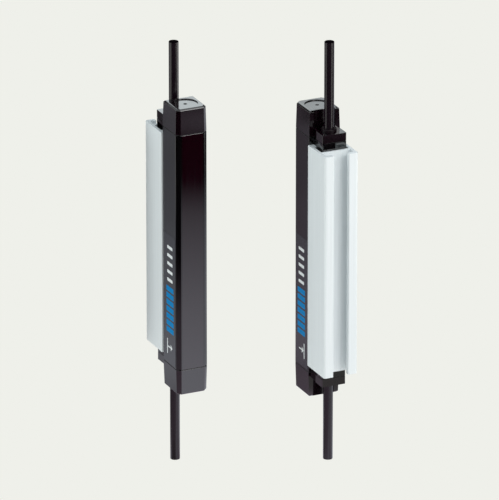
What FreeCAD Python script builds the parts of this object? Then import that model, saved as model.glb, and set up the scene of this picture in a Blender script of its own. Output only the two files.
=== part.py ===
import FreeCAD, Part
import math
import os

from FreeCAD import Vector

# A slim light grid: a transmitter bar and a receiver bar that face opposite ways.
# Each bar is drawn once in its own frame: X across the bar, +Y out of its back, Z along it,
# with the origin in the mouth of its mounting slot, half way up. All sizes are in millimetres.

# Housing: a nearly square black profile with chamfered front corners
housing_width = 19.4
housing_depth = 20.2
housing_length = 143.5
corner_chamfer = 2.3
housing_wall = 1.8
edge_radius = 0.35

# Spine: the T-shaped back of the profile that carries the rail and takes the cables
neck_depth = 4.6
spine_depth = 13.3
spine_wall = 1.6
spine_corner_radius = 0.4
spine_side_gap = 1.1
hook_overlap = 0.75

# Front window, held in a slot along each side of the opening
window_margin = 0.8
window_thickness = 2.4
window_lip = 1.2
window_flange = 0.75
window_clearance = 0.05
window_seat = 1.1

# End caps
cap_height = 15.4
cap_draft = 0.4
cap_bevel = 0.8
cap_roof = 1.3
dish_margin = 2.4
dish_depth = 0.6
gate_diameter = 2.2
gate_depth = 0.9
relief_depth = 0.9
spigot_length = 4.0
spigot_wall = 1.2
spigot_clearance = 0.15
gasket_thickness = 0.3
gasket_inset = 0.2

# Cable outlet at the back of each cap
outlet_height = 4.8
outlet_roof = 1.8
collar_height = 1.4
collar_wall = 1.55
collar_chamfer = 0.3
grommet_wall = 0.9
grommet_tail = 0.8
cable_diameter = 5.7
cable_setback = 5.8

# Mounting rail with a slot that is wider inside than at its mouth
rail_setback = 4.25
rail_overhang = 0.8
rail_wall = 2.0
rail_web = 1.8
rail_corner_radius = 1.3
rail_edge_radius = 0.3
slot_mouth = 9.5
slot_depth = 7.4
slot_lip = 3.0
slide_clearance = 0.15

# Electronics
beam_pitch = 10.0
board_thickness = 1.6
board_setback = 7.3
board_groove = 0.8
board_clearance = 0.1
board_end_gap = 1.5
holder_side_gap = 0.4
aperture_side = 5.6
lens_thickness = 0.8
lens_rise = 0.8
emitter_side = 3.0
emitter_height = 1.9
photodiode_side = 3.6
photodiode_height = 1.2
chip_side = 8.0
chip_height = 1.2
chip_pitch = 26.0
socket_width = 7.0
socket_depth = 2.4
socket_height = 4.6
lead_width = 5.0
lead_thickness = 0.8

# Printed film on the side of each bar
label_thickness = 0.1
label_margin = 0.9
label_top = 8.4

# Where the transmitter stands from the receiver, and how far each cable reaches past its collar
pair_offset = 67.5
window_gap = 12.5
receiver_cables = {"top": 52.0, "bottom": 46.4}
transmitter_cables = {"top": 41.2, "bottom": 59.3}

# How close an edge lies to a stated place to be the one meant
near = 0.01

# Sizes and places that follow from the ones above
housing_end = housing_length / 2
rail_width = housing_width + 2 * rail_overhang
rail_inner_width = rail_width - 2 * rail_wall
rail_depth = spine_depth + 2 * slide_clearance + rail_web + slot_depth
rail_end = housing_end - rail_setback
spine_width = rail_inner_width - 2 * spine_side_gap
neck_width = spine_width - 2 * hook_overlap
back = -rail_depth
front = back - housing_depth
neck_end = back + neck_depth
spine_back = back + spine_depth
duct_width = neck_width - 2 * spine_wall
duct_back = spine_back - spine_wall
window_width = housing_width - 2 * (corner_chamfer + window_margin)
cavity_width = housing_width - 2 * housing_wall
cavity_front = front + window_thickness + window_seat
cavity_back = back - housing_wall
cap_base = housing_end + gasket_thickness
cap_end = cap_base + cap_height
dish_diameter = housing_width - 2 * dish_margin
outlet_top = cap_base + outlet_height
collar_top = outlet_top + collar_height
cable_axis = back + cable_setback
shank_end = outlet_top - outlet_roof - grommet_tail
spigot_end = housing_end - spigot_length
spigot_front = cavity_front + spigot_clearance
spigot_back = cavity_back - spigot_clearance
spigot_width = cavity_width - 2 * spigot_clearance
board_back = back - board_setback
board_front = board_back - board_thickness
board_end = spigot_end - board_end_gap
board_width = cavity_width + 2 * (board_groove - board_clearance)
holder_width = window_width - 2 * holder_side_gap
holder_front = cavity_front + lens_rise + lens_thickness


def bar(width, y_low, y_high, z_low, z_high):
    """A straight bar, centred across X."""
    corner = Vector(-width / 2, y_low, z_low)
    return Part.makeBox(width, y_high - y_low, z_high - z_low, corner)


def rod(diameter, y, z_low, z_high):
    """A round rod along Z on the bar's middle plane."""
    return Part.makeCylinder(diameter / 2, z_high - z_low, Vector(0, y, z_low))


def closed_wire(points):
    """A closed polygon through points in space."""
    return Part.makePolygon(points + points[:1])


def body_outline(inset, z):
    """The bar's outline with chamfered front corners, drawn inwards by an inset."""
    half = housing_width / 2 - inset
    leg = corner_chamfer - inset * (2 - math.sqrt(2))
    low = front + inset
    high = back - inset
    corners = [(half - leg, low), (half, low + leg), (half, high)]
    corners += [(-x, y) for x, y in reversed(corners)]
    return closed_wire([Vector(x, y, z) for x, y in corners])


def upright_edges(shape):
    """The edges that run the whole height of a shape."""
    height = shape.BoundBox.ZLength
    return [edge for edge in shape.Edges if edge.BoundBox.ZLength > height - near]


def edges_at(shape, x_half, y):
    """The long edges at a place in the section, on both sides of the bar."""
    found = []
    for edge in upright_edges(shape):
        place = edge.CenterOfMass
        if abs(abs(place.x) - x_half) < near and abs(place.y - y) < near:
            found.append(edge)
    return found


def spine(z_low, z_high):
    """The T-shaped back of the profile: a neck and a wider head with rounded back corners."""
    head = bar(spine_width, neck_end, spine_back, z_low, z_high)
    head = head.makeFillet(spine_corner_radius, edges_at(head, spine_width / 2, spine_back))
    return head.fuse(bar(neck_width, back, neck_end, z_low, z_high))


def row_heights(length, item, pitch):
    """The heights of as many items as fit in a length at a pitch, centred on the bar."""
    gaps = int((length - item) // pitch)
    return [(index - gaps / 2) * pitch for index in range(gaps + 1)]


def beam_heights():
    """The height of each beam."""
    return row_heights(2 * board_end, aperture_side, beam_pitch)


def make_housing():
    """The hollow profile: window opening and slots in front, board grooves inside, duct in the spine."""
    low = -housing_end
    high = housing_end
    body = Part.Face(body_outline(0, low)).extrude(Vector(0, 0, housing_length))
    body = body.makeFillet(edge_radius, upright_edges(body))
    body = body.fuse(spine(low, high))
    slot_front = front + window_lip
    slot_back = front + window_thickness
    slot_width = window_width + 2 * window_flange
    opening = bar(window_width, front, cavity_front, low, high)
    slot = bar(slot_width, slot_front, slot_back, low, high)
    cavity = bar(cavity_width, cavity_front, cavity_back, low, high)
    grooves = bar(
        cavity_width + 2 * board_groove,
        board_front - board_clearance,
        board_back + board_clearance,
        low,
        high,
    )
    duct = bar(duct_width, back, duct_back, low, high)
    return body.cut([opening, slot, cavity, grooves, duct]).removeSplitter()


def make_window():
    """The dark front plate, flush with the housing, with a flange along each side."""
    low = -housing_end
    high = housing_end
    plate_width = window_width - 2 * window_clearance
    flange_front = front + window_lip + window_clearance
    flange_back = front + window_thickness - window_clearance
    plate = bar(plate_width, front, flange_back, low, high)
    flanges = bar(plate_width + 2 * window_flange, flange_front, flange_back, low, high)
    return plate.fuse(flanges).removeSplitter()


def make_cap():
    """The top end cap: a drafted hollow shell with a spigot, and a cable outlet on its back."""
    shoulder = body_outline(cap_draft, cap_end - cap_bevel)
    tip = body_outline(cap_draft + cap_bevel, cap_end)
    shell = Part.makeLoft([body_outline(0, cap_base), shoulder, tip], True, True)
    outlet = spine(cap_base, outlet_top)
    bridge = bar(neck_width, back - cap_draft, back, cap_base, outlet_top)
    spigot = bar(spigot_width, spigot_front, spigot_back, spigot_end, cap_base)
    cap = shell.fuse([outlet, bridge, spigot])

    gate_floor = cap_end - dish_depth - gate_depth
    hollow_width = spigot_width - 2 * spigot_wall
    hollow_front = spigot_front + spigot_wall
    hollow_back = spigot_back - spigot_wall
    hollow = bar(hollow_width, hollow_front, hollow_back, spigot_end, gate_floor - cap_roof)
    passage = bar(duct_width, hollow_back, duct_back, cap_base, outlet_top - outlet_roof)
    bore = rod(cable_diameter + 2 * grommet_wall, cable_axis, cap_base, outlet_top)
    middle = (front + back) / 2
    dish = rod(dish_diameter, middle, cap_end - dish_depth, cap_end)
    gate = rod(gate_diameter, middle, gate_floor, cap_end)
    relief = bar(neck_width, back - relief_depth - cap_draft, back, outlet_top, cap_end)
    return cap.cut([hollow, passage, bore, dish, gate, relief]).removeSplitter()


def make_gasket():
    """The flat seal between housing and cap, set in from their edges."""
    low = housing_end
    plate = Part.Face(body_outline(gasket_inset, low)).extrude(Vector(0, 0, gasket_thickness))
    tail_width = neck_width - 2 * gasket_inset
    tail = bar(tail_width, back - gasket_inset, spine_back - gasket_inset, low, cap_base)
    spigot_hole = bar(cavity_width, cavity_front, cavity_back, low, cap_base)
    duct_hole = bar(duct_width, back, duct_back, low, cap_base)
    return plate.fuse(tail).cut([spigot_hole, duct_hole]).removeSplitter()


def make_grommet():
    """The bush that seals the cable: a collar on the outlet and a shank through its roof."""
    collar = rod(cable_diameter + 2 * collar_wall, cable_axis, outlet_top, collar_top)
    rim = [edge for edge in collar.Edges if edge.BoundBox.ZMin > collar_top - near]
    collar = collar.makeChamfer(collar_chamfer, rim)
    shank = rod(cable_diameter + 2 * grommet_wall, cable_axis, shank_end, outlet_top)
    return collar.fuse(shank).removeSplitter()


def make_cable(reach):
    """The straight free end of a cable, from its collar."""
    return rod(cable_diameter, cable_axis, collar_top, collar_top + reach)


def make_lead():
    """The flat lead from cable to board: down from the bush, forward through the cap and down again."""
    half = lead_thickness / 2
    cross = (shank_end + cap_base) / 2
    lane = board_back + socket_depth / 2
    drop = bar(lead_width, cable_axis - half, cable_axis + half, cross - half, shank_end)
    across = bar(lead_width, lane - half, cable_axis + half, cross - half, cross + half)
    plug = bar(lead_width, lane - half, lane + half, board_end, cross + half)
    return drop.fuse([across, plug]).removeSplitter()


def make_rail():
    """The extruded rail: hooked behind the spine's head, with the mounting slot in its back."""
    low = -rail_end
    high = rail_end
    rail = bar(rail_width, back + slide_clearance, 0, low, high)
    rail = rail.makeFillet(rail_corner_radius, edges_at(rail, rail_width / 2, 0))
    web_back = -slot_depth
    web_front = web_back - rail_web
    hook_back = neck_end - slide_clearance
    mouth = bar(slot_mouth, web_back, 0, low, high)
    undercut = bar(rail_inner_width, web_back, -slot_lip, low, high)
    chamber = bar(rail_inner_width, hook_back, web_front, low, high)
    throat = bar(neck_width + 2 * slide_clearance, back, hook_back, low, high)
    rail = rail.cut([mouth, undercut, chamber, throat]).removeSplitter()
    return rail.makeFillet(rail_edge_radius, edges_at(rail, slot_mouth / 2, 0))


def make_board():
    """The circuit board, slid into the housing's grooves."""
    return bar(board_width, board_front, board_back, -board_end, board_end)


def make_holder():
    """The black bar in front of the board, with one aperture for each beam."""
    holder = bar(holder_width, holder_front, board_front, -board_end, board_end)
    half = aperture_side / 2
    return holder.cut([
        bar(aperture_side, holder_front, board_front, height - half, height + half)
        for height in beam_heights()
    ])


def make_lenses():
    """The moulded strip on the holder: a plate with a bowed lens for each beam."""
    plate_front = holder_front - lens_thickness
    strip = bar(holder_width, plate_front, holder_front, -board_end, board_end)
    half = aperture_side / 2
    lenses = []
    for height in beam_heights():
        low = height - half
        left = Vector(-half, plate_front, low)
        right = Vector(half, plate_front, low)
        bow = Part.Arc(left, Vector(0, plate_front - lens_rise, low), right).toShape()
        outline = Part.Wire([bow, Part.makeLine(right, left)])
        lenses.append(Part.Face(outline).extrude(Vector(0, 0, aperture_side)))
    return strip.fuse(lenses).removeSplitter()


def make_diodes(side, rise):
    """One square diode on the board behind each aperture."""
    return Part.makeCompound([
        bar(side, board_front - rise, board_front, height - side / 2, height + side / 2)
        for height in beam_heights()
    ])


def make_chips():
    """The chips on the back of the board, in a row between the sockets."""
    half = chip_side / 2
    return Part.makeCompound([
        bar(chip_side, board_back, board_back + chip_height, height - half, height + half)
        for height in row_heights(2 * (board_end - socket_height), chip_side, chip_pitch)
    ])


def make_sockets():
    """A socket at each end of the board, which takes the flat lead."""
    low = board_end - socket_height
    socket = bar(socket_width, board_back, board_back + socket_depth, low, board_end)
    return Part.makeCompound([socket, bottom_of(socket)])


def make_label(side):
    """The printed film on one side of the bar, down to the lower cap."""
    depth_low = front + corner_chamfer + label_margin
    depth = back - label_margin - depth_low
    low = -housing_end + label_margin
    inner_x = housing_width / 2
    film = Part.makeBox(label_thickness, depth, label_top - low, Vector(inner_x, depth_low, low))
    if side < 0:
        film = film.mirror(Vector(), Vector(1, 0, 0))
    return film


def bottom_of(shape):
    """The same piece at the lower end of the bar."""
    return shape.mirror(Vector(), Vector(0, 0, 1))


def make_bar(diodes, diode_name, label_side, cable_reach):
    """All the pieces of one bar, by name, in the bar's own frame."""
    pieces = {
        "housing": make_housing(),
        "window": make_window(),
        "rail": make_rail(),
        "label": make_label(label_side),
        "circuit_board": make_board(),
        "aperture_bar": make_holder(),
        "lens_strip": make_lenses(),
        diode_name: diodes,
        "board_chips": make_chips(),
        "lead_sockets": make_sockets(),
    }
    ends = {
        "cap": make_cap(),
        "gasket": make_gasket(),
        "grommet": make_grommet(),
        "lead": make_lead(),
    }
    for name, shape in ends.items():
        pieces["top_" + name] = shape
        pieces["bottom_" + name] = bottom_of(shape)
    pieces["top_cable"] = make_cable(cable_reach["top"])
    pieces["bottom_cable"] = bottom_of(make_cable(cable_reach["bottom"]))
    return pieces


def facing_placement():
    """Turns the transmitter to face the receiver and sets it to one side of it."""
    distance = 2 * (rail_depth + housing_depth) + window_gap
    half_turn = FreeCAD.Rotation(Vector(0, 0, 1), 180)
    return FreeCAD.Placement(Vector(pair_offset, -distance, 0), half_turn)


os.makedirs("parts", exist_ok=True)

photodiodes = make_diodes(photodiode_side, photodiode_height)
emitters = make_diodes(emitter_side, emitter_height)
receiver = make_bar(photodiodes, "photodiodes", 1, receiver_cables)
transmitter = make_bar(emitters, "emitters", -1, transmitter_cables)
for name, shape in receiver.items():
    shape.exportStep("parts/receiver_" + name + ".step")
for name, shape in transmitter.items():
    shape.Placement = facing_placement()
    shape.exportStep("parts/transmitter_" + name + ".step")
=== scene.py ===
# %% [markdown]
# # A light grid in the studio
#
# The object is a light grid: a transmitter bar and a receiver bar, as slim as a thumb. Each has a black
# square profile with a dark window down its front, a cap and a cable at each end, and a pale aluminium
# rail on its back. The solids come from CAD, in metres, and everything in this lesson is laid over them
# in the same frame. We load them first, keep the size of their box, and never move them.

# %% Load the solids
import math

import bmesh
import bpy
from mathutils import Matrix, Vector


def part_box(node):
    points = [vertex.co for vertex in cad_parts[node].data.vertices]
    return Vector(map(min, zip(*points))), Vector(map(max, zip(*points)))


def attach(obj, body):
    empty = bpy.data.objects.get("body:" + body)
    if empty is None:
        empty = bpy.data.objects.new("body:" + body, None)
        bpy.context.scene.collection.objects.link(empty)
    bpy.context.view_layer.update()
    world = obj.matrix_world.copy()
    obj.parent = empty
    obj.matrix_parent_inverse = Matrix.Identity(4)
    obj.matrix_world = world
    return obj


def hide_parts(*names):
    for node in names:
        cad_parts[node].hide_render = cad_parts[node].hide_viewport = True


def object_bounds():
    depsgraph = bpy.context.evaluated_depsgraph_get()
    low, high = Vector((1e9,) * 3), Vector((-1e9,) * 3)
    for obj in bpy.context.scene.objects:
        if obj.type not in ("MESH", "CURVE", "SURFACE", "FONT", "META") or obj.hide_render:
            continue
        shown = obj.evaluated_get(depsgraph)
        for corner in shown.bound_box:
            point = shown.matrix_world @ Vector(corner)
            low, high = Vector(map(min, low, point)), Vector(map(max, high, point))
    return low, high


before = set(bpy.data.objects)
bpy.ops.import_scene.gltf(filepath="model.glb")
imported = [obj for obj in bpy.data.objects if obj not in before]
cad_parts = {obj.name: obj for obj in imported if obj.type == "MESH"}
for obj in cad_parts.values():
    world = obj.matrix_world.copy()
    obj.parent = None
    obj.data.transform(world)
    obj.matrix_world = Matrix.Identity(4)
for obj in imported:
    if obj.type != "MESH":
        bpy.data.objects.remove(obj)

cad_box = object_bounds()
centre = (cad_box[0] + cad_box[1]) / 2
middle = Vector((centre.x, centre.y, 0))
scene = bpy.context.scene
MM = 0.001
BARS = ("receiver", "transmitter")
ENDS = ("top", "bottom")
print("solids:", len(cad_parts), "box in metres:", [tuple(round(v, 4) for v in c) for c in cad_box])

# %% [markdown]
# ## The camera
#
# The picture was taken with a long lens from far away, so upright edges stay upright and the far bar is
# hardly smaller than the near one. We could drag a camera about until it looks right, but a long lens
# hides small errors in one corner and shows them in another. Here the heading, the tilt, the focal length
# and the place come from a fit over the corners of both bars, and we only turn them into a matrix: its
# columns are the camera's right, its up and the way out of its back.

# %% Set up the camera
HEADING = math.radians(24.672)
TILT = math.radians(21.311)
FOCAL_PIXELS = 8018.0
PICTURE_WIDTH = 499.0
SENSOR = 36.0
AWAY = 4579.5 * MM
LEFT = 42.74 * MM
UP = 1.80 * MM

to_right = Vector((-math.cos(HEADING), math.sin(HEADING), 0))
to_back = Vector((-math.sin(HEADING), -math.cos(HEADING), 0))
looking = to_back * math.cos(TILT) - Vector((0, 0, math.sin(TILT)))
to_up = to_back * math.sin(TILT) + Vector((0, 0, math.cos(TILT)))

rail_front = Vector((0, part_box("receiver_rail")[0].y, 0))
standing = rail_front - looking * AWAY - to_right * LEFT + to_up * UP
lens = bpy.data.cameras.new("long_lens")
lens.sensor_fit = "HORIZONTAL"
lens.sensor_width = SENSOR
lens.lens = FOCAL_PIXELS / PICTURE_WIDTH * SENSOR
camera = bpy.data.objects.new("long_lens", lens)
scene.collection.objects.link(camera)
camera.matrix_world = Matrix.Translation(standing) @ Matrix((to_right, to_up, -looking)).transposed().to_4x4()
scene.camera = camera
print("camera stands", round(standing.length, 3), "m away with a", round(lens.lens, 1), "mm lens")

# %% [markdown]
# ## Materials: a small tool box
#
# Every finish here is a Principled shader with a few nodes around it. We could click them together in the
# Shader Editor, but then nobody could read how they were made. In a script, nodes read best when each is
# one call, so these helpers start a material, add a node, and dress solids in the result. An input of a
# node is either a plain value or a socket of another node, and a socket is wired.

# %% Helpers for materials
def start_material(name, colour, roughness, metallic=0.0, gloss=0.5):
    material = bpy.data.materials.new(name)
    material.use_nodes = True
    shader = material.node_tree.nodes["Principled BSDF"]
    shader.inputs["Base Color"].default_value = (*colour, 1)
    shader.inputs["Roughness"].default_value = roughness
    shader.inputs["Metallic"].default_value = metallic
    shader.inputs["Specular IOR Level"].default_value = gloss
    return material, shader


def add_node(tree, kind, settings=None, **inputs):
    node = tree.nodes.new(kind)
    for key, value in (settings or {}).items():
        setattr(node, key, value)
    for key, value in inputs.items():
        socket = node.inputs[key.replace("_", " ")]
        if isinstance(value, bpy.types.NodeSocket):
            tree.links.new(value, socket)
        else:
            socket.default_value = value
    return node


def dress(names, material):
    for name in names:
        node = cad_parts[name]
        node.data.materials.clear()
        node.data.materials.append(material)
    print(material.name, "on", len(names), "pieces")


print("material helpers:", start_material.__name__, add_node.__name__, dress.__name__)

# %% [markdown]
# Real plastic, metal and rubber are never quite even: their gloss, colour and height wander a little. A
# picture could show that, but it would need a layout on every surface. Noise needs none. It reads Object
# coordinates, which are plain metres here because the objects sit at the origin, so a scale of 1000 gives
# one cell in a millimetre. Noise keeps to the middle of its range, so the spans below stretch that part.

# %% Helpers for unevenness
NOISE_ROUGHNESS = 0.55
ROUGHNESS_SPAN = (0.3, 0.7)
COLOUR_SPAN = (0.35, 0.65)


def add_noise(material, scale, detail=3.0, stretch=(1, 1, 1)):
    tree = material.node_tree
    place = add_node(tree, "ShaderNodeTexCoord")
    mapping = add_node(tree, "ShaderNodeMapping", Vector=place.outputs["Object"], Scale=stretch)
    return add_node(tree, "ShaderNodeTexNoise", Vector=mapping.outputs["Vector"], Scale=scale, Detail=detail,
                    Roughness=NOISE_ROUGHNESS)


def vary_roughness(material, shader, noise, low, high):
    tree = material.node_tree
    span = add_node(tree, "ShaderNodeMapRange", Value=noise.outputs["Fac"], From_Min=ROUGHNESS_SPAN[0],
                    From_Max=ROUGHNESS_SPAN[1], To_Min=low, To_Max=high)
    tree.links.new(span.outputs["Result"], shader.inputs["Roughness"])


def vary_colour(material, shader, noise, dark, light):
    tree = material.node_tree
    ramp = add_node(tree, "ShaderNodeValToRGB", Fac=noise.outputs["Fac"])
    for stop, spot, colour in zip(ramp.color_ramp.elements, COLOUR_SPAN, (dark, light)):
        stop.position = spot
        stop.color = (*colour, 1)
    tree.links.new(ramp.outputs["Color"], shader.inputs["Base Color"])


def add_bump(material, shader, noise, strength, height):
    tree = material.node_tree
    bump = add_node(tree, "ShaderNodeBump", Height=noise.outputs["Fac"], Strength=strength, Distance=height)
    tree.links.new(bump.outputs["Normal"], shader.inputs["Normal"])


print("noise spans:", ROUGHNESS_SPAN, "for roughness and", COLOUR_SPAN, "for colour")

# %% [markdown]
# ## Black plastic
#
# The profile is extruded, so its faint streaks run along the bar. The caps are moulded, so their grain has
# no direction. Streaks could be modelled, but they are a hundredth of a millimetre high and only show as a
# change of gloss. So the profile's noise is squeezed in Z, which draws it out, and moves the gloss, the
# colour and a very low bump. Both plastics are nearly black: what we see of them is mostly the table
# mirrored in their gloss.

# %% Make the profile and cap plastics
profile_black, shader = start_material("profile_black", (0.002, 0.0015, 0.002), 0.07, gloss=1.0)
streaks = add_noise(profile_black, 900, 4, stretch=(1, 1, 0.02))
vary_roughness(profile_black, shader, streaks, 0.05, 0.09)
vary_colour(profile_black, shader, streaks, (0.0018, 0.0013, 0.0018), (0.0022, 0.0017, 0.0022))
add_bump(profile_black, shader, streaks, 0.03, 0.01 * MM)
dress([bar + "_housing" for bar in BARS], profile_black)

cap_black, shader = start_material("cap_black", (0.004, 0.0009, 0.0024), 0.09, gloss=1.0)
grain = add_noise(cap_black, 2400, 2)
vary_roughness(cap_black, shader, grain, 0.07, 0.11)
add_bump(cap_black, shader, grain, 0.03, 0.005 * MM)
dress([bar + "_" + end + "_cap" for bar in BARS for end in ENDS], cap_black)

# %% [markdown]
# ## The dark window
#
# The window lets infrared through and stops nearly all visible light. It could be tinted glass, but then
# every ray would be followed through it into a dark inside. From outside, a thick filter of this kind looks
# black with a hint of wine red, and it is polished, so a smooth opaque shader gives the same look.

# %% Make the window
window_dark, shader = start_material("window_dark", (0.007, 0.0004, 0.0024), 0.06, gloss=1.0)
haze = add_noise(window_dark, 700, 3, stretch=(1, 1, 0.01))
vary_roughness(window_dark, shader, haze, 0.04, 0.08)
dress([bar + "_window" for bar in BARS], window_dark)

# %% [markdown]
# ## Anodised aluminium
#
# The rails are extruded aluminium with a matt anodised skin. A full metal shader would mirror the dark
# parts of the studio, and the real skin doesn't: it scatters light much as pale paint does, with only a
# little metal left in its shine. So the metallic value is low, and noise squeezed in Z gives the fine draw
# lines along the rail.

# %% Make the rails
rail_silver, shader = start_material("rail_silver", (0.80, 0.84, 0.86), 0.5, 0.1)
draw_lines = add_noise(rail_silver, 1600, 4, stretch=(1, 1, 0.01))
vary_roughness(rail_silver, shader, draw_lines, 0.44, 0.56)
vary_colour(rail_silver, shader, draw_lines, (0.78, 0.82, 0.84), (0.82, 0.86, 0.88))
add_bump(rail_silver, shader, draw_lines, 0.1, 0.02 * MM)
dress([bar + "_rail" for bar in BARS], rail_silver)

# %% [markdown]
# ## Rubber and film
#
# The cable jackets, the bushes and the seals are black rubber. One material could do for all, but side by
# side they differ: the jacket shines a little, the bush is dull and the seal is duller still, so each has a
# roughness of its own. The printed film on the side of each bar is nearly as smooth as the profile, and a
# lighter black sets it off.

# %% Make the rubbers and the film
jacket_black, shader = start_material("jacket_black", (0.006, 0.002, 0.005), 0.24)
grain = add_noise(jacket_black, 1800, 3)
vary_roughness(jacket_black, shader, grain, 0.21, 0.27)
add_bump(jacket_black, shader, grain, 0.02, 0.005 * MM)

bush_black, shader = start_material("bush_black", (0.006, 0.002, 0.004), 0.35, gloss=0.2)
grain = add_noise(bush_black, 2200, 3)
vary_roughness(bush_black, shader, grain, 0.31, 0.4)
add_bump(bush_black, shader, grain, 0.12, 0.02 * MM)
dress([bar + "_" + end + "_grommet" for bar in BARS for end in ENDS], bush_black)

seal_black, shader = start_material("seal_black", (0.004, 0.0035, 0.004), 0.7)
grain = add_noise(seal_black, 2600, 3)
vary_roughness(seal_black, shader, grain, 0.62, 0.78)
dress([bar + "_" + end + "_gasket" for bar in BARS for end in ENDS], seal_black)

film_black, shader = start_material("film_black", (0.0205, 0.0215, 0.027), 0.12, gloss=0.9)
haze = add_noise(film_black, 300, 3)
vary_roughness(film_black, shader, haze, 0.10, 0.14)
dress([bar + "_label" for bar in BARS], film_black)

# %% [markdown]
# ## What is inside
#
# The board, the optics and the leads are closed in, so they could stay bare. But the part may be opened one
# day, so they get plain finishes of their own: green board, black optics, clear lenses, dark diodes and
# chips, pale sockets, grey ribbons. They differ only in colour, roughness and grain, so a table holds them.

# %% Make the inner finishes
UNEVEN = 0.15
INNER = {
    "board_green": ((0.012, 0.09, 0.035), 0.35, 260, ["circuit_board"]),
    "optics_black": ((0.012, 0.012, 0.012), 0.6, 2200, ["aperture_bar"]),
    "lens_clear": ((0.55, 0.56, 0.57), 0.08, 90, ["lens_strip"]),
    "diode_dark": ((0.02, 0.018, 0.03), 0.15, 700, ["photodiodes", "emitters"]),
    "chip_black": ((0.018, 0.018, 0.018), 0.55, 1800, ["board_chips"]),
    "socket_white": ((0.62, 0.58, 0.5), 0.45, 900, ["lead_sockets"]),
    "ribbon_grey": ((0.3, 0.3, 0.31), 0.5, 800, ["top_lead", "bottom_lead"]),
}
for name, (colour, roughness, scale, pieces) in INNER.items():
    finish, shader = start_material(name, colour, roughness)
    grain = add_noise(finish, scale)
    vary_roughness(finish, shader, grain, roughness * (1 - UNEVEN), roughness * (1 + UNEVEN))
    found = [bar + "_" + piece for bar in BARS for piece in pieces]
    dress([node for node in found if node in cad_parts], finish)

# %% [markdown]
# ## The cables
#
# Each bar has a short straight cable at both ends, cut off square. A cut face is duller than the jacket. It
# could be one more material on the cable's end, but a spline has one material for its tube and its caps. So
# the cable stops a tenth of a millimetre short, and a thin dull disc closes it.

# %% Make the cut ends
CABLE = 5.7 * MM
CUT = 0.1 * MM
CUT_RADIUS = CABLE / 2.04
CUT_SIDES = 48
cut_black, shader = start_material("cut_black", (0.003, 0.002, 0.003), 0.9, gloss=0.0)
vary_roughness(cut_black, shader, add_noise(cut_black, 2600), 0.8, 1.0)


def close_end(name, tip, depth):
    work = bmesh.new()
    place = Matrix.Translation(tip - Vector((0, 0, depth / 2)))
    bmesh.ops.create_cone(work, cap_ends=True, segments=CUT_SIDES, radius1=CUT_RADIUS, radius2=CUT_RADIUS,
                          depth=abs(depth), matrix=place)
    mesh = bpy.data.meshes.new(name)
    work.to_mesh(mesh)
    work.free()
    mesh.materials.append(cut_black)
    piece = bpy.data.objects.new(name, mesh)
    scene.collection.objects.link(piece)
    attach(piece, "root")
    return piece


print("cut ends are", round(2 * CUT_RADIUS / MM, 2), "mm across")

# %% [markdown]
# A cylinder would do for a straight cable, but a curve with a round bevel can still be bent later. It is a
# NURBS spline of order three, clamped to its end points, and it starts where the cable leaves its bush.

# %% Lay the cables
RING_STEPS = 7


def lay_cable(bar, end):
    low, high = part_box(bar + "_" + end + "_cable")
    x, y = ((low + high) / 2).xy
    start, stop = (low.z, high.z) if end == "top" else (high.z, low.z)
    reach = high.z - low.z
    curve = bpy.data.curves.new(bar + "_" + end + "_flex", "CURVE")
    curve.dimensions = "3D"
    curve.bevel_depth = CABLE / 2
    curve.bevel_resolution = RING_STEPS
    curve.use_fill_caps = True
    spline = curve.splines.new("NURBS")
    spline.points.add(2)
    for point, share in zip(spline.points, (0, 0.5, 1)):
        point.co = (x, y, start + (stop - start) * (1 - CUT / reach) * share, 1)
    spline.order_u = 3
    spline.use_endpoint_u = True
    spline.use_smooth = True
    cable = bpy.data.objects.new(bar + "_" + end + "_flex", curve)
    scene.collection.objects.link(cable)
    curve.materials.append(jacket_black)
    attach(cable, "root")
    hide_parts(bar + "_" + end + "_cable")
    cut = close_end(bar + "_" + end + "_cut", Vector((x, y, stop)), math.copysign(CUT, stop - start))
    print(cable.name, "is", round(reach / MM, 1), "mm long with its cut end")


for bar in BARS:
    for end in ENDS:
        lay_cable(bar, end)

# %% [markdown]
# ## Soft edges
#
# CAD edges are knife sharp, but moulded and sawn edges are a little round, and that thin round strip is
# what catches the light along a cap or a seam. We could put Bevel modifiers straight on the solids, but
# their meshes are loose triangles, so a bevel has no edges to work on. Instead each solid is copied, its
# points are merged, its flat faces are joined, and each edge to round gets a bevel weight: its share of the
# full width.

# %% Copy a solid and weigh its edges
WELD = 0.001 * MM
FLAT = math.radians(0.5)
CORNER = math.radians(30)


def copy_solid(name, wanted):
    work = bmesh.new()
    work.from_mesh(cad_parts[name].data)
    bmesh.ops.remove_doubles(work, verts=work.verts, dist=WELD)
    bmesh.ops.dissolve_limit(work, angle_limit=FLAT, verts=work.verts, edges=work.edges)
    weight = work.edges.layers.float.new("bevel_weight_edge")
    for face in work.faces:
        face.smooth = True
    for edge in work.edges:
        if edge.calc_face_angle(0) >= CORNER and edge.is_convex:
            edge[weight] = wanted(edge)
    mesh = bpy.data.meshes.new(name + "_soft")
    work.to_mesh(mesh)
    work.free()
    piece = bpy.data.objects.new(name + "_soft", mesh)
    scene.collection.objects.link(piece)
    return piece


print("corners of more than", round(math.degrees(CORNER)), "degrees can be rounded")

# %% [markdown]
# A bevel alone lets the shading of its strips spill over the flat faces, and black gloss shows that at
# once. We could add more strips, but the spill would only get narrower. So what is still sharp after the
# bevel is marked, and a Weighted Normal modifier makes each strip follow its largest neighbours, which
# then stay flat. The modifiers are made plain mesh, and the soft copy stands in for its solid.

# %% Round the edges of a copy
SHARP = math.radians(28)
STRIPS = 3


def make_plain(piece):
    bpy.context.view_layer.update()
    seen = piece.evaluated_get(bpy.context.evaluated_depsgraph_get())
    plain = bpy.data.meshes.new_from_object(seen)
    piece.modifiers.clear()
    piece.data = plain


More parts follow.
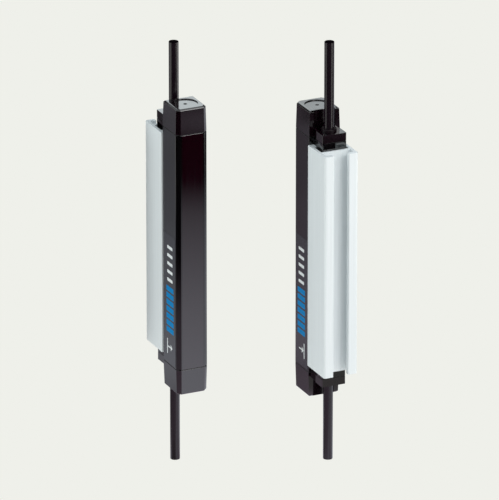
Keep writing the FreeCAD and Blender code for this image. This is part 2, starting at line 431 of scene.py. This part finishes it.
def drop_slivers(mesh):
    work = bmesh.new()
    work.from_mesh(mesh)
    bmesh.ops.dissolve_degenerate(work, dist=WELD, edges=work.edges)
    work.to_mesh(mesh)
    work.free()


def soften(name, wanted, width, material):
    piece = copy_solid(name, wanted)
    bevel = piece.modifiers.new("round", "BEVEL")
    bevel.limit_method = "WEIGHT"
    bevel.width = width
    bevel.segments = STRIPS
    bevel.use_clamp_overlap = False
    make_plain(piece)
    drop_slivers(piece.data)
    piece.data.set_sharp_from_angle(angle=SHARP)
    even = piece.modifiers.new("even", "WEIGHTED_NORMAL")
    even.mode = "FACE_AREA"
    even.keep_sharp = True
    make_plain(piece)
    piece.data.materials.clear()
    piece.data.materials.append(material)
    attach(piece, "root")
    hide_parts(name)
    print(piece.name, "has", len(piece.data.polygons), "faces")


print("each round edge has", STRIPS, "strips")

# %% [markdown]
# Which edges are round differs from piece to piece. We could pick edges by number, but numbers change with
# the model. Where an edge lies doesn't, so these helpers ask that: whether it is level at some height, runs
# upright, belongs to the spine that the rail hooks on, or borders the front of a bar.

# %% Find where an edge lies
CLOSE = 0.01 * MM
UPRIGHT = 0.9


def at_height(edge, height):
    one, other = (v.co.z for v in edge.verts)
    return abs(one - other) < CLOSE and abs(abs(one) - height) < CLOSE


def is_upright(edge):
    one, other = (v.co.z for v in edge.verts)
    return abs(one - other) > UPRIGHT * edge.calc_length()


def on_spine(edge):
    if edge.verts[0].co.y > middle.y:
        return any(v.co.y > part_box("receiver_rail")[0].y for v in edge.verts)
    return any(v.co.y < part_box("transmitter_rail")[1].y for v in edge.verts)


def on_front(edge):
    fronts = (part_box("receiver_window")[0].y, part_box("transmitter_window")[1].y)
    return any(all(abs(v.co.y - front) < CLOSE for v in edge.verts) for front in fronts)


print("an edge is at a height when both its ends are within", CLOSE / MM, "mm of it")

# %% [markdown]
# A cap is roundest about its end, less so on its ledges, and hardly at all on its uprights. A profile and its
# window are only broken at their sawn ends, and a rail is broken all over. One width for all edges would be
# simpler, but it would eat into the thin ledges. So each piece has a rule that answers with the share of the
# full width that an edge gets. Short edges are parts of curves and stay as they are.

# %% Round the caps, the profiles, the windows and the rails
CAP_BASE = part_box("receiver_top_gasket")[1].z
CAP_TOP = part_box("receiver_top_cap")[1].z
HOUSING_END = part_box("receiver_housing")[1].z
STRAIGHT = 1.2 * MM
UPRIGHT_SHARE = 0.12
LEDGE_SHARE = 0.44
SAWN_SHARE = 0.3
CAP_ROUND = 0.5 * MM
HOUSING_ROUND = 0.25 * MM
WINDOW_ROUND = 0.25 * MM
RAIL_ROUND = 0.2 * MM


def on_cap(edge):
    if min(abs(v.co.z) for v in edge.verts) < CAP_BASE - CLOSE or edge.calc_length() < STRAIGHT:
        return 0
    if at_height(edge, CAP_BASE) and on_spine(edge):
        return 0
    if at_height(edge, CAP_TOP):
        return 1
    return UPRIGHT_SHARE if is_upright(edge) else LEDGE_SHARE


def on_housing(edge):
    if not at_height(edge, HOUSING_END) or on_spine(edge):
        return 0
    return 1 if on_front(edge) else SAWN_SHARE


def on_window(edge):
    return 1 if at_height(edge, HOUSING_END) and on_front(edge) else 0


def on_rail(edge):
    return 1


for bar in BARS:
    for end in ENDS:
        soften(bar + "_" + end + "_cap", on_cap, CAP_ROUND, cap_black)
    soften(bar + "_housing", on_housing, HOUSING_ROUND, profile_black)
    soften(bar + "_window", on_window, WINDOW_ROUND, window_dark)
    soften(bar + "_rail", on_rail, RAIL_ROUND, rail_silver)

# %% [markdown]
# ## Marks on the film
#
# The film carries plain marks: a row of white dashes, a row of blue bars and a small arrow. A mask in the
# film's material could draw them, but real ink has a thickness that catches the light, so they are thin
# solids. The dashes and the bars differ only in count, pitch, size and colour, so one Geometry Nodes tree
# makes both: a line of points with a rounded rectangle on each. Extrude Mesh leaves a face's back open, so
# a flipped copy of the flat face closes it.

# %% Make a tree for rows of marks
CORNER_POINTS = 4
FACING_OUT = (math.pi / 2, 0, math.pi / 2)


def start_tree(name, sockets):
    tree = bpy.data.node_groups.new(name, "GeometryNodeTree")
    tree.interface.new_socket("Geometry", in_out="OUTPUT", socket_type="NodeSocketGeometry")
    for label, kind in sockets.items():
        tree.interface.new_socket(label, in_out="INPUT", socket_type="NodeSocket" + kind)
    return tree, tree.nodes.new("NodeGroupInput").outputs, tree.nodes.new("NodeGroupOutput")


row_tree, given, result = start_tree("rows_of_marks", {
    "Count": "Int", "Start": "Vector", "Step": "Vector", "Width": "Float", "Height": "Float",
    "Corner": "Float", "Thickness": "Float", "Material": "Material",
})
line = add_node(row_tree, "GeometryNodeMeshLine", Count=given["Count"], Start_Location=given["Start"],
                Offset=given["Step"])
box = add_node(row_tree, "GeometryNodeCurvePrimitiveQuadrilateral", Width=given["Width"],
               Height=given["Height"])
rounded = add_node(row_tree, "GeometryNodeFilletCurve", {"mode": "POLY"}, Curve=box.outputs["Curve"],
                   Radius=given["Corner"], Count=CORNER_POINTS)
flat = add_node(row_tree, "GeometryNodeFillCurve", {"mode": "NGONS"}, Curve=rounded.outputs["Curve"])
thick = add_node(row_tree, "GeometryNodeExtrudeMesh", Mesh=flat.outputs["Mesh"],
                 Offset_Scale=given["Thickness"])
back = add_node(row_tree, "GeometryNodeFlipFaces", Mesh=flat.outputs["Mesh"])
shell = add_node(row_tree, "GeometryNodeJoinGeometry")
for half in (thick, back):
    row_tree.links.new(half.outputs["Mesh"], shell.inputs["Geometry"])
closed = add_node(row_tree, "GeometryNodeMergeByDistance", Geometry=shell.outputs["Geometry"], Distance=WELD)
turned = add_node(row_tree, "GeometryNodeTransform", Geometry=closed.outputs["Geometry"], Rotation=FACING_OUT)
row = add_node(row_tree, "GeometryNodeInstanceOnPoints", Points=line.outputs["Mesh"],
               Instance=turned.outputs["Geometry"])
real = add_node(row_tree, "GeometryNodeRealizeInstances", Geometry=row.outputs["Instances"])
inked = add_node(row_tree, "GeometryNodeSetMaterial", Geometry=real.outputs["Geometry"],
                 Material=given["Material"])
row_tree.links.new(inked.outputs["Geometry"], result.inputs["Geometry"])
print("tree", row_tree.name, "has", len(row_tree.nodes), "nodes")

# %% [markdown]
# Printed ink is flat and slightly matt. It could share the film's gloss, but then it would mirror the
# studio and lose its colour, so both inks are rough, with a little unevenness from the print. The marks
# lie on the film's face, a little nearer to the front of the bar than to its rail.

# %% Print the rows
INK = 0.03 * MM
FORWARD = {"receiver": -0.8 * MM, "transmitter": 0.8 * MM}
FILM_FACE = {bar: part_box(bar + "_label")[1].x for bar in BARS}
FILM_MIDDLE = {bar: sum(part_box(bar + "_label"), Vector()).y / 2 + FORWARD[bar] for bar in BARS}

ink_white, shader = start_material("ink_white", (0.80, 0.83, 0.85), 0.45)
vary_roughness(ink_white, shader, add_noise(ink_white, 1500), 0.4, 0.52)
ink_blue, shader = start_material("ink_blue", (0.005, 0.215, 0.53), 0.6, gloss=0.05)
vary_roughness(ink_blue, shader, add_noise(ink_blue, 1500), 0.54, 0.66)


def run_tree(name, tree, values):
    piece = bpy.data.objects.new(name, bpy.data.meshes.new(name))
    scene.collection.objects.link(piece)
    modifier = piece.modifiers.new("nodes", "NODES")
    modifier.node_group = tree
    for item in tree.interface.items_tree:
        if item.in_out == "INPUT":
            modifier[item.identifier] = values[item.name]
    make_plain(piece)
    return piece


def print_row(name, bar, count, first, pitch, width, height, corner, ink):
    piece = run_tree(name, row_tree, {
        "Count": count,
        "Start": (FILM_FACE[bar], FILM_MIDDLE[bar], first),
        "Step": (0.0, 0.0, pitch),
        "Width": width, "Height": height, "Corner": corner,
        "Thickness": INK, "Material": ink,
    })
    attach(piece, "root")
    print(piece.name, "faces:", len(piece.data.polygons))


for bar in BARS:
    print_row(bar + "_dashes", bar, count=5, first=0.4 * MM, pitch=-5.0 * MM, width=7.2 * MM, height=1.9 * MM,
              corner=0.5 * MM, ink=ink_white)
    print_row(bar + "_bars", bar, count=7, first=-25.2 * MM, pitch=-4.2 * MM, width=9.8 * MM, height=3.1 * MM,
              corner=0.35 * MM, ink=ink_blue)

# %% [markdown]
# The arrow stands across the bar, along the way of the beams. On the transmitter the light leaves a block
# at the arrow's tail, and on the receiver it meets a block at the tip. There is one arrow on each film, so
# a tree would be too much: the outline is a short list of points, in millimetres across and along the bar,
# and a face from them is extruded to the thickness of the ink.

# %% Print the arrows
ARROW_SHIFT = -0.3 * MM
ARROW_HEIGHT = -61.0 * MM
ARROW = ((-2.6, -0.4), (1.2, -0.4), (1.2, -1.9), (3.4, 0), (1.2, 1.9), (1.2, 0.4), (-2.6, 0.4))
BLOCK = ((-0.45, -4.6), (0.45, -4.6), (0.45, 4.6), (-0.45, 4.6))
BLOCK_PLACE = {"receiver": 4.2, "transmitter": -3.4}


def print_arrow(bar):
    work = bmesh.new()
    spot = Vector((FILM_FACE[bar], FILM_MIDDLE[bar] + ARROW_SHIFT, ARROW_HEIGHT))
    block = [(y + BLOCK_PLACE[bar], z) for y, z in BLOCK]
    for outline in (ARROW, block):
        face = work.faces.new([work.verts.new(spot + Vector((0, y, z)) * MM) for y, z in outline])
        grown = bmesh.ops.extrude_face_region(work, geom=[face])
        moved = [v for v in grown["geom"] if isinstance(v, bmesh.types.BMVert)]
        bmesh.ops.translate(work, verts=moved, vec=(INK, 0, 0))
    bmesh.ops.recalc_face_normals(work, faces=work.faces)
    mesh = bpy.data.meshes.new(bar + "_arrow")
    work.to_mesh(mesh)
    work.free()
    mesh.materials.append(ink_white)
    piece = bpy.data.objects.new(bar + "_arrow", mesh)
    scene.collection.objects.link(piece)
    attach(piece, "root")
    print(piece.name, "faces:", len(mesh.polygons))


for bar in BARS:
    print_arrow(bar)

# %% [markdown]
# ## Table and world
#
# The bars float over an evenly lit pale table, as in a catalogue. A lit table would show lamps and shadows,
# and they would have to be painted out. This one glows by itself, so it takes no shadow and every part of
# the picture's ground has the same tone. The world is pale too, and fills the shade from all sides.

# %% Build the table and the world
scene.view_settings.view_transform = "Standard"
PALE = (0.863, 0.871, 0.823)
TABLE_HEIGHT = -0.16
TABLE_HALF = 20
SKY_STRENGTH = 0.74
SKY_TINT = (0.82, 0.89, 0.91)
SQUARE = ((-1, -1), (1, -1), (1, 1), (-1, 1))


def start_glow(name, strength=1.0):
    material = bpy.data.materials.new(name)
    material.use_nodes = True
    tree = material.node_tree
    tree.nodes.clear()
    glow = add_node(tree, "ShaderNodeEmission", Color=(*PALE, 1), Strength=strength)
    add_node(tree, "ShaderNodeOutputMaterial", Surface=glow.outputs["Emission"])
    return material, glow


def lay_sheet(name, corners, material):
    mesh = bpy.data.meshes.new(name)
    mesh.from_pydata(corners, [], [range(len(corners))])
    mesh.materials.append(material)
    sheet = bpy.data.objects.new(name, mesh)
    scene.collection.objects.link(sheet)
    return sheet


table_glow, glow = start_glow("table_glow")
lay_sheet("table", [(x * TABLE_HALF, y * TABLE_HALF, TABLE_HEIGHT) for x, y in SQUARE], table_glow)

world = bpy.data.worlds.new("studio")
scene.world = world
world.use_nodes = True
sky = world.node_tree.nodes["Background"]
sky.inputs["Color"].default_value = (*SKY_TINT, 1)
sky.inputs["Strength"].default_value = SKY_STRENGTH
print("table at", TABLE_HEIGHT, "m")

# %% [markdown]
# ## What the gloss mirrors
#
# Black gloss has hardly any colour of its own: it shows what it mirrors. An upright face seen from above
# mirrors the table, its foot the near part and its head the far part. In a real studio the near part is
# bright and the table ends half a metre away, so the fronts of the bars run from grey at the foot to black
# at the head. We could build that studio, but a card that only mirrors can see gives more control. It needs
# two ramps: one along the way that the fronts and the label sides look, and one along the way that the cut
# corners look. A stop of a ramp is a distance from the middle, in metres, and a level. Tints give the
# mirrored light the cool or warm cast that it has on the bars.

# %% Draw the ramps
WHITE = (1.0, 1.0, 1.0)
STEEL = (0.88, 0.90, 1.0)
PLUM = (0.925, 0.74, 0.915)
ROSE = (1.0, 0.86, 0.90)


def tinted(tint, *stops):
    return [(spot, Vector(tint) * level) for spot, level in stops]


FRONT_RAMP = [
    *tinted(WHITE, (-0.78, 0.22), (-0.66, 0.2), (-0.60, 0.175), (-0.49, 0.195), (-0.46, 0.23)),
    *tinted(WHITE, (-0.40, 0.235), (-0.32, 0.29), (-0.29, 0.345), (-0.265, 0.40), (-0.235, 0.41)),
    *tinted(WHITE, (-0.205, 0.36), (-0.19, 0.31), (-0.17, 0.26), (-0.155, 0.31), (-0.13, 0.31)),
    *tinted(WHITE, (-0.10, 0.8), (-0.03, 0.8), (0.10, 1.0), (0.20, 0.92), (0.30, 0.71)),
    *tinted(WHITE, (0.45, 0.3), (0.475, 0.17), (0.505, 0.0)),
    *tinted(ROSE, (0.685, 0.0), (0.705, 0.3), (0.73, 0.36), (0.755, 0.48), (0.768, 0.0)),
]
CORNER_RAMP = [
    *tinted(STEEL, (-0.80, 0.55), (-0.63, 0.55), (-0.59, 0.04), (-0.51, 0.08), (-0.42, 0.32)),
    *tinted(STEEL, (-0.30, 0.45), (-0.20, 0.42), (-0.11, 1.0), (-0.045, 1.0)),
    *tinted(PLUM, (-0.028, 0.62), (-0.008, 0.61)),
    *tinted(STEEL, (0.018, 0.98), (0.045, 1.0)),
    *tinted(PLUM, (0.065, 0.5), (0.10, 0.45), (0.17, 0.42), (0.20, 0.30), (0.33, 0.22), (0.42, 0.0)),
]
print("ramps:", len(FRONT_RAMP), "and", len(CORNER_RAMP), "stops")

# %% [markdown]
# The card lies two millimetres over the table, and its glow is the product of the two ramps. A picture
# could hold that pattern, but its pixels would blur the thin stops. A dot product does it without: it turns
# a point into a distance along one way, and a colour ramp turns the distance into light. The camera and
# matt surfaces don't see the card, so the table keeps its even tone.

# %% Lay the mirror card
CARD_HEIGHT = TABLE_HEIGHT + 2 * MM
CARD_HALF = 2.5
CARD_GLOW = 1.48
front_way = Vector((-math.sin(HEADING), math.cos(HEADING), 0))
corner_way = Vector((math.cos(HEADING), math.sin(HEADING), 0))


def hide_from_all_but_mirrors(sheet):
    sheet.visible_camera = False
    sheet.visible_diffuse = False
    sheet.visible_transmission = False
    sheet.visible_volume_scatter = False
    sheet.visible_shadow = False


def ramp_along(material, way, stops):
    tree = material.node_tree
    place = add_node(tree, "ShaderNodeTexCoord")
    along = add_node(tree, "ShaderNodeVectorMath", {"operation": "DOT_PRODUCT"},
                     Vector=place.outputs["Object"])
    along.inputs[1].default_value = way
    share = add_node(tree, "ShaderNodeMapRange", Value=along.outputs["Value"],
                     From_Min=middle.dot(way) - CARD_HALF, From_Max=middle.dot(way) + CARD_HALF)
    ramp = add_node(tree, "ShaderNodeValToRGB", Fac=share.outputs["Result"])
    made = ramp.color_ramp.elements
    while len(made) < len(stops):
        made.new(1.0)
    for stop, (spot, colour) in zip(made, stops):
        stop.position = (spot + CARD_HALF) / (2 * CARD_HALF)
        stop.color = (*colour, 1)
    return ramp


card_glow, glow = start_glow("card_glow", CARD_GLOW)
by_front = ramp_along(card_glow, front_way, FRONT_RAMP)
by_corner = ramp_along(card_glow, corner_way, CORNER_RAMP)
both = add_node(card_glow.node_tree, "ShaderNodeVectorMath", {"operation": "MULTIPLY"})
for ramp, socket in zip((by_front, by_corner), both.inputs):
    card_glow.node_tree.links.new(ramp.outputs["Color"], socket)
card_glow.node_tree.links.new(both.outputs["Vector"], glow.inputs["Color"])

corners = [middle + (front_way * f + corner_way * c) * CARD_HALF for f, c in SQUARE]
card = lay_sheet("mirror_card", [(p.x, p.y, CARD_HEIGHT) for p in corners], card_glow)
hide_from_all_but_mirrors(card)
print("mirror card:", 2 * CARD_HALF, "m wide")

# %% [markdown]
# Some small faces at the ends of the bars are darker than the long ones. More stops in the ramps would
# darken whole stripes of the bars. But each small face mirrors its own spot of the card, so a patch there,
# laid a millimetre higher, darkens that face alone.

# %% Lay the patches
PATCH_LIFT = 1 * MM
PATCHES = {
    "outlet_patch": {"front": (-0.73, -0.652), "corner": (0.001, 0.025), "glow": 0.02},
    "foot_patch": {"front": (0.19, 0.30), "corner": (-0.05, 0.003), "glow": 0.38},
    "cable_patch": {"front": (-0.07, 0.0), "corner": (0.02, 0.09), "glow": 0.25},
}
ROUND_TRIP = ((0, 0), (1, 0), (1, 1), (0, 1))
for name, patch in PATCHES.items():
    patch_glow, glow = start_glow(name + "_glow", patch["glow"])
    spots = [middle + front_way * patch["front"][i] + corner_way * patch["corner"][j] for i, j in ROUND_TRIP]
    sheet = lay_sheet(name, [(p.x, p.y, CARD_HEIGHT + PATCH_LIFT) for p in spots], patch_glow)
    hide_from_all_but_mirrors(sheet)
print("patches:", ", ".join(PATCHES))

# %% [markdown]
# Round cables mirror a slice of what stands on their left and right. With nothing there they would look
# flat. Lamps there would also light the rails, so two upright cards do it, which only mirrors see: they
# draw the light bands down both sides of a cable, the right one brighter than the left. The turn of a card
# is counted from the camera's side of the table towards the right.

# %% Stand the side cards
SIDE_AWAY = 0.5
SIDE_TOP = 0.14
SIDES = {
    "right_card": {"turn": 88, "half": 0.29, "glow": 3.1},
    "left_card": {"turn": -85, "half": 0.26, "glow": 1.5},
}


def stand_card(name, foot, edge, low, high, material):
    ends = (foot - edge, foot + edge)
    heights = (low, high)
    sheet = lay_sheet(name, [(*ends[i].xy, heights[j]) for i, j in ROUND_TRIP], material)
    hide_from_all_but_mirrors(sheet)


for name, side in SIDES.items():
    turn = math.radians(side["turn"])
    side_way = to_right * math.sin(turn) - to_back * math.cos(turn)
    side_edge = Vector((-side_way.y, side_way.x, 0)) * side["half"]
    side_glow, glow = start_glow(name + "_glow", side["glow"])
    stand_card(name, middle + side_way * SIDE_AWAY, side_edge, TABLE_HEIGHT, SIDE_TOP, side_glow)
print("side cards:", ", ".join(SIDES))

# %% [markdown]
# The receiver's upper cable has no bright band on its right. A narrower side card would take the band from
# the other cables too, so a small black card stands close beside this cable and hides the bright one.

# %% Shade one cable
SHADE_GAP = 30 * MM
SHADE_DROP = 20 * MM
SHADE_DEPTH = (-10 * MM, 20 * MM)
shade_glow, glow = start_glow("shade_glow", 0.0)
cable_low, cable_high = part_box("receiver_top_cable")
beside = (cable_low + cable_high) / 2 + to_right * SHADE_GAP
beside = Vector((beside.x, beside.y, 0)) + to_back * sum(SHADE_DEPTH) / 2
shade_half = to_back * (SHADE_DEPTH[1] - SHADE_DEPTH[0]) / 2
stand_card("cable_shade", beside, shade_half, cable_low.z - SHADE_DROP, cable_high.z, shade_glow)
print("the shade stands", round(SHADE_GAP / MM), "mm beside the cable")

# %% [markdown]
# The flat tops of the caps mirror what is behind the bars. A lamp there would give both the same tone. A wide
# card with a ramp across it glows on the left and fades to black on the right, so the left cap turns
# silver, the right one grey, and the ledges on the right stay dark.

# %% Stand the back card
BACK_AWAY = 1.1
BACK_LOW = 0.2
BACK_HIGH = 0.85
BACK_HALF = 1.6
BACK_GLOW = 2.8
SILVER = (0.87, 0.94, 0.96)
BACK_RAMP = [
    *tinted(SILVER, (-0.95, 0.0), (-0.60, 0.35), (-0.30, 0.9), (-0.02, 0.9)),
    *tinted(SILVER, (0.02, 0.57), (0.04, 0.56), (0.056, 0.72), (0.08, 0.0)),
]
back_glow, glow = start_glow("back_glow", BACK_GLOW)
across = ramp_along(back_glow, to_right, BACK_RAMP)
back_glow.node_tree.links.new(across.outputs["Color"], glow.inputs["Color"])
stand_card("back_card", middle + to_back * BACK_AWAY, to_right * BACK_HALF, BACK_LOW, BACK_HIGH, back_glow)
print("back card:", len(BACK_RAMP), "stops")

# %% [markdown]
# ## Lamps
#
# Mirrors are done, but the pale rails need real light. Small lamps would draw hard shadows in the rails'
# slots, so these are large soft boxes. The key lamp hangs high on the right and brightens the open faces of
# the rails, and the fill lamp on the left lifts their sides with slightly cooler light. The top lamp only
# shows in mirrors: it draws thin bright lines on upper edges.

# %% Hang the lamps
def hang_lamp(name, forward, sideways, height, size, radiance, tint):
    data = bpy.data.lights.new(name, "AREA")
    data.size = size
    data.energy = radiance * math.pi * size ** 2
    data.color = tint
    lamp = bpy.data.objects.new(name, data)
    scene.collection.objects.link(lamp)
    lamp.location = middle - to_back * forward + to_right * sideways + Vector((0, 0, height))
    lamp.rotation_mode = "QUATERNION"
    lamp.rotation_quaternion = (middle - lamp.location).to_track_quat("-Z", "Y")
    lamp.visible_camera = False
    print("lamp", name, "gives", round(data.energy, 1), "W")
    return lamp


hang_lamp("key_lamp", forward=0.9, sideways=1.0, height=0.95, size=0.7, radiance=6.5, tint=(1.0, 0.98, 0.97))
hang_lamp("fill_lamp", forward=0.2, sideways=-1.4, height=0.5, size=0.8, radiance=2.2, tint=(0.9, 1.0, 1.0))
top_lamp = hang_lamp("top_lamp", forward=0.25, sideways=0.72, height=1.3, size=1.1, radiance=1.2, tint=WHITE)
top_lamp.visible_diffuse = False

# %% [markdown]
# The far edge of the left rail is a shade darker than the rest of its side, and the cable outlet above that
# rail mirrors less of the rail's bright end than it would by itself. Weaker lamps would darken the whole
# rail. In a real studio a black flag does it: one stands close behind the edge, where only matt surfaces
# meet it, and one lies over the rail's end, where only mirrors see it.

# %% Stand the flags
FLAG_GAP = 4 * MM
FLAG_INSET = 1 * MM
FLAG_WIDTH = 28 * MM
FLAG_LIFT = 0.1 * MM
flag_black, shader = start_material("flag_black", (0.0, 0.0, 0.0), 1.0, gloss=0.0)
rail_low, rail_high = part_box("transmitter_rail")

flag_x = (rail_high.x + FLAG_INSET, rail_high.x + FLAG_WIDTH)
flag_y = rail_low.y - FLAG_GAP
flag_z = (rail_low.z, rail_high.z)
flag = lay_sheet("flag", [(flag_x[i], flag_y, flag_z[j]) for i, j in ROUND_TRIP], flag_black)
flag.visible_camera = False
flag.visible_glossy = False

ledge_x = (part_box("transmitter_top_grommet")[1].x + FLAG_INSET, rail_high.x)
ledge_y = (rail_low.y, rail_high.y)
ledge_z = rail_high.z + FLAG_LIFT
ledge = lay_sheet("ledge_flag", [(ledge_x[i], ledge_y[j], ledge_z) for i, j in ROUND_TRIP], flag_black)
hide_from_all_but_mirrors(ledge)
print("flags:", round((flag_x[1] - flag_x[0]) / MM), "and", round((ledge_x[1] - ledge_x[0]) / MM), "mm wide")
